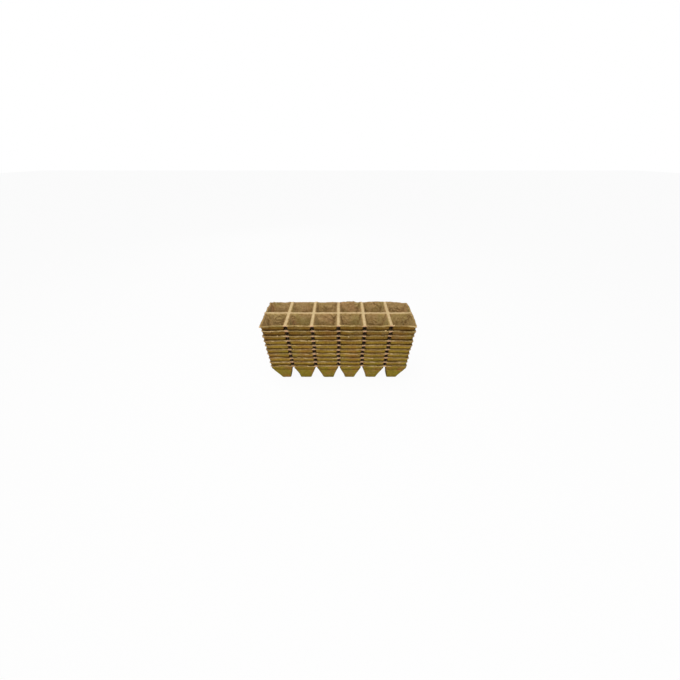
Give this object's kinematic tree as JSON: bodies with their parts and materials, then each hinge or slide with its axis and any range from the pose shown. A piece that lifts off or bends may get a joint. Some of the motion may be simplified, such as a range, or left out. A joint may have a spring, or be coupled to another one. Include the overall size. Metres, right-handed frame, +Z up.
{
  "type": "peat pot tray stack",
  "caption": "Ten nested seed trays of moulded peat, each a strip of twelve square tapered cells, six along and two across.",
  "frame": {"origin": "under the middle of the stack, on the surface that the lowest tray's feet stand on", "axes": "+X along the trays' long side, +Y to the back, +Z up"},
  "size_m": [0.264, 0.086, 0.129],
  "materials": {
    "peat_pulp": "matt, fibrous moulded peat and wood pulp"
  },
  "bodies": {
    "tray_01": {"tray_01": "peat_pulp"},
    "tray_02": {"tray_02": "peat_pulp"},
    "tray_03": {"tray_03": "peat_pulp"},
    "tray_04": {"tray_04": "peat_pulp"},
    "tray_05": {"tray_05": "peat_pulp"},
    "tray_06": {"tray_06": "peat_pulp"},
    "tray_07": {"tray_07": "peat_pulp"},
    "tray_08": {"tray_08": "peat_pulp"},
    "tray_09": {"tray_09": "peat_pulp"},
    "tray_10": {"tray_10": "peat_pulp"}
  },
  "joints": [
    {"name": "tray_02_lift", "type": "slide", "parent": "tray_01", "child": "tray_02", "axis": [0, 0, 1], "range_m": [0, 0.033]},
    {"name": "tray_03_lift", "type": "slide", "parent": "tray_02", "child": "tray_03", "axis": [0, 0, 1], "range_m": [0, 0.033]},
    {"name": "tray_04_lift", "type": "slide", "parent": "tray_03", "child": "tray_04", "axis": [0, 0, 1], "range_m": [0, 0.033]},
    {"name": "tray_05_lift", "type": "slide", "parent": "tray_04", "child": "tray_05", "axis": [0, 0, 1], "range_m": [0, 0.033]},
    {"name": "tray_06_lift", "type": "slide", "parent": "tray_05", "child": "tray_06", "axis": [0, 0, 1], "range_m": [0, 0.033]},
    {"name": "tray_07_lift", "type": "slide", "parent": "tray_06", "child": "tray_07", "axis": [0, 0, 1], "range_m": [0, 0.033]},
    {"name": "tray_08_lift", "type": "slide", "parent": "tray_07", "child": "tray_08", "axis": [0, 0, 1], "range_m": [0, 0.033]},
    {"name": "tray_09_lift", "type": "slide", "parent": "tray_08", "child": "tray_09", "axis": [0, 0, 1], "range_m": [0, 0.033]},
    {"name": "tray_10_lift", "type": "slide", "parent": "tray_09", "child": "tray_10", "axis": [0, 0, 1], "range_m": [0, 0.033]}
  ]
}
